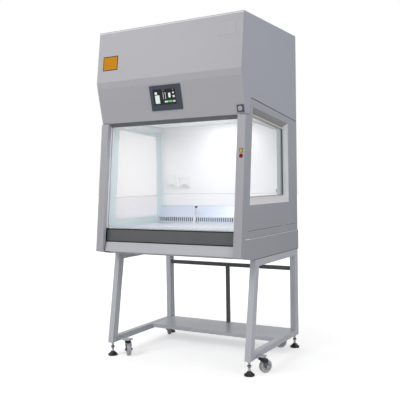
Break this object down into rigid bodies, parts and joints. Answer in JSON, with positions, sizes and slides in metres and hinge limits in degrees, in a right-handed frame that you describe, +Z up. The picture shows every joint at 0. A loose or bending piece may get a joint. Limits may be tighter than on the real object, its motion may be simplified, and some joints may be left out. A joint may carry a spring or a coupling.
{
  "type": "biological safety cabinet",
  "caption": "Floor-standing laboratory safety cabinet with a leaning glass sash, side windows, steel work chamber, touch panel, and a stand on castors and levelling feet",
  "frame": {"origin": "on the floor, under the middle of the whole cabinet's bounding box", "axes": "+X to the right of a user who faces the sash, +Y to the back of the cabinet, +Z up"},
  "size_m": [1.0804, 0.8528, 2.03],
  "materials": {
    "hood_paint": "satin powder coat",
    "side_paint": "satin powder coat",
    "panel_light": "satin powder coat",
    "stand_paint": "satin powder coat",
    "chamber_steel": "fine brushed",
    "window_glass": "clear safety glass",
    "diffuser_white": "satin",
    "apron_dark": "satin",
    "filter_media": "pleated filter paper in its frame",
    "galvanised": "galvanised sheet",
    "blower_alloy": "cast",
    "motor_dark": "satin black",
    "lamp_white": "glossy white",
    "bezel_plastic": "fine grain",
    "screen_black": "glossy",
    "bright_metal": "plated",
    "socket_plastic": "glossy",
    "lid_plastic": "glossy",
    "black_plastic": "fine grain",
    "port_grey": "fine grain",
    "sash_glass": "clear safety glass",
    "black_rubber": "matte",
    "belt_rubber": "matte",
    "guide_alloy": "anodised",
    "shaft_steel": "ground",
    "castor_black": "black passivated",
    "castor_tyre": "grey rubber",
    "foot_black": "fine grain"
  },
  "bodies": {
    "cabinet": {"hood_shell": "hood_paint", "top_cover": "hood_paint", "back_cover": "hood_paint", "side_frame_right": "side_paint", "side_frame_left": "side_paint", "side_liners": "chamber_steel", "side_windows": "window_glass", "back_wall": "chamber_steel", "rear_baffle": "chamber_steel", "worktop": "chamber_steel", "front_grille": "chamber_steel", "ceiling_diffuser": "diffuser_white", "front_apron": "apron_dark", "lower_front_panel": "panel_light", "base_pan": "side_paint", "downflow_filter": "filter_media", "blower_plenum": "galvanised", "blower_motor": "motor_dark", "exhaust_filter": "filter_media", "exhaust_guard": "hood_paint", "work_lamp": "lamp_white", "touch_bezel": "bezel_plastic", "touch_screen": "screen_black", "key_plate": "bezel_plastic", "socket_boxes": "socket_plastic", "tap_body": "bright_metal", "service_port": "port_grey", "sash_guides": "guide_alloy", "drive_belts": "belt_rubber", "shaft_bearings": "shaft_steel", "sash_gearmotor": "motor_dark", "stand_side_left": "stand_paint", "stand_side_right": "stand_paint", "stand_rear_frame": "stand_paint", "stand_shelf": "stand_paint", "castor_heads": "bright_metal", "lock_nuts": "bright_metal", "mains_inlet": "black_plastic"},
    "sash": {"sash_glass": "sash_glass", "sash_seal": "black_rubber", "sash_lift_bar": "guide_alloy"},
    "cross_shaft": {"drive_shaft": "shaft_steel"},
    "idlers": {"idler_pulleys": "black_plastic"},
    "key_lock": {"key_barrel": "bright_metal"},
    "lid_left": {"socket_lid_left": "lid_plastic"},
    "lid_right": {"socket_lid_right": "lid_plastic"},
    "tap_knob": {"tap_handle": "black_plastic"},
    "blower": {"blower_wheel": "blower_alloy"},
    "castor_front_left": {"castor_fork_front_left": "castor_black"},
    "wheel_front_left": {"castor_wheel_front_left": "castor_tyre"},
    "levelling_foot_front_left": {"foot_front_left": "foot_black"},
    "castor_front_right": {"castor_fork_front_right": "castor_black"},
    "wheel_front_right": {"castor_wheel_front_right": "castor_tyre"},
    "levelling_foot_front_right": {"foot_front_right": "foot_black"},
    "castor_rear_left": {"castor_fork_rear_left": "castor_black"},
    "wheel_rear_left": {"castor_wheel_rear_left": "castor_tyre"},
    "levelling_foot_rear_left": {"foot_rear_left": "foot_black"},
    "castor_rear_right": {"castor_fork_rear_right": "castor_black"},
    "wheel_rear_right": {"castor_wheel_rear_right": "castor_tyre"},
    "levelling_foot_rear_right": {"foot_rear_right": "foot_black"}
  },
  "joints": [
    {"name": "sash_slide", "type": "slide", "parent": "cabinet", "child": "sash", "axis": [0, 0.1059, 0.9944], "range_m": [0, 0.42]},
    {"name": "cross_shaft_turn", "type": "hinge", "parent": "cabinet", "child": "cross_shaft", "pos_m": [-0.03595, -0.22305, 1.996], "axis": [1, 0, 0], "range_deg": [-1250, 0]},
    {"name": "idler_turn", "type": "hinge", "parent": "cabinet", "child": "idlers", "pos_m": [-0.03595, -0.27524, 1.506], "axis": [1, 0, 0], "range_deg": [-1250, 0]},
    {"name": "key_turn", "type": "hinge", "parent": "cabinet", "child": "key_lock", "pos_m": [0.43255, -0.34149, 1.497], "axis": [0, -0.9758, -0.2187], "range_deg": [0, 90]},
    {"name": "lid_left_hinge", "type": "hinge", "parent": "cabinet", "child": "lid_left", "pos_m": [-0.39545, 0.24036, 1.1325], "axis": [-1, 0, 0], "range_deg": [0, 100], "stiffness_Nm_per_rad": 0.01, "springref_deg": -28.65},
    {"name": "lid_right_hinge", "type": "hinge", "parent": "cabinet", "child": "lid_right", "pos_m": [-0.29295, 0.24036, 1.1325], "axis": [-1, 0, 0], "range_deg": [0, 100], "stiffness_Nm_per_rad": 0.01, "springref_deg": -28.65},
    {"name": "tap_turn", "type": "hinge", "parent": "cabinet", "child": "tap_knob", "pos_m": [-0.19095, 0.18735, 0.816], "axis": [0.1736, 0, 0.9848], "range_deg": [0, 90]},
    {"name": "blower_spin", "type": "hinge", "parent": "cabinet", "child": "blower", "pos_m": [-0.20595, 0.08636, 1.79], "axis": [0, 0, 1], "continuous": true},
    {"name": "castor_front_left_swivel", "type": "hinge", "parent": "cabinet", "child": "castor_front_left", "pos_m": [-0.43395, -0.25265, 0.09], "axis": [0, 0, 1], "continuous": true},
    {"name": "wheel_front_left_spin", "type": "hinge", "parent": "castor_front_left", "child": "wheel_front_left", "pos_m": [-0.41627, -0.27032, 0.0395], "axis": [0.7071, 0.7071, 0], "continuous": true},
    {"name": "castor_front_right_swivel", "type": "hinge", "parent": "cabinet", "child": "castor_front_right", "pos_m": [0.48805, -0.22964, 0.09], "axis": [0, 0, 1], "continuous": true},
    {"name": "wheel_front_right_spin", "type": "hinge", "parent": "castor_front_right", "child": "wheel_front_right", "pos_m": [0.5031, -0.20968, 0.0395], "axis": [-0.7986, 0.6018, 0], "continuous": true},
    {"name": "castor_rear_left_swivel", "type": "hinge", "parent": "cabinet", "child": "castor_rear_left", "pos_m": [-0.47395, 0.29635, 0.09], "axis": [0, 0, 1], "continuous": true},
    {"name": "wheel_rear_left_spin", "type": "hinge", "parent": "castor_rear_left", "child": "wheel_rear_left", "pos_m": [-0.48645, 0.31801, 0.0395], "axis": [-0.866, -0.5, 0], "continuous": true},
    {"name": "castor_rear_right_swivel", "type": "hinge", "parent": "cabinet", "child": "castor_rear_right", "pos_m": [0.34605, 0.32436, 0.09], "axis": [0, 0, 1], "continuous": true},
    {"name": "wheel_rear_right_spin", "type": "hinge", "parent": "castor_rear_right", "child": "wheel_rear_right", "pos_m": [0.3677, 0.33686, 0.0395], "axis": [-0.5, 0.866, 0], "continuous": true},
    {"name": "foot_front_left_screw", "type": "slide", "parent": "cabinet", "child": "levelling_foot_front_left", "axis": [0, 0, -1], "range_m": [0, 0.02]},
    {"name": "foot_front_right_screw", "type": "slide", "parent": "cabinet", "child": "levelling_foot_front_right", "axis": [0, 0, -1], "range_m": [0, 0.02]},
    {"name": "foot_rear_left_screw", "type": "slide", "parent": "cabinet", "child": "levelling_foot_rear_left", "axis": [0, 0, -1], "range_m": [0, 0.02]},
    {"name": "foot_rear_right_screw", "type": "slide", "parent": "cabinet", "child": "levelling_foot_rear_right", "axis": [0, 0, -1], "range_m": [0, 0.02]}
  ],
  "couplings": [
    {"joint": "cross_shaft_turn", "follows": "sash_slide", "rad_per_m": -51.813},
    {"joint": "idler_turn", "follows": "sash_slide", "rad_per_m": -51.813}
  ]
}
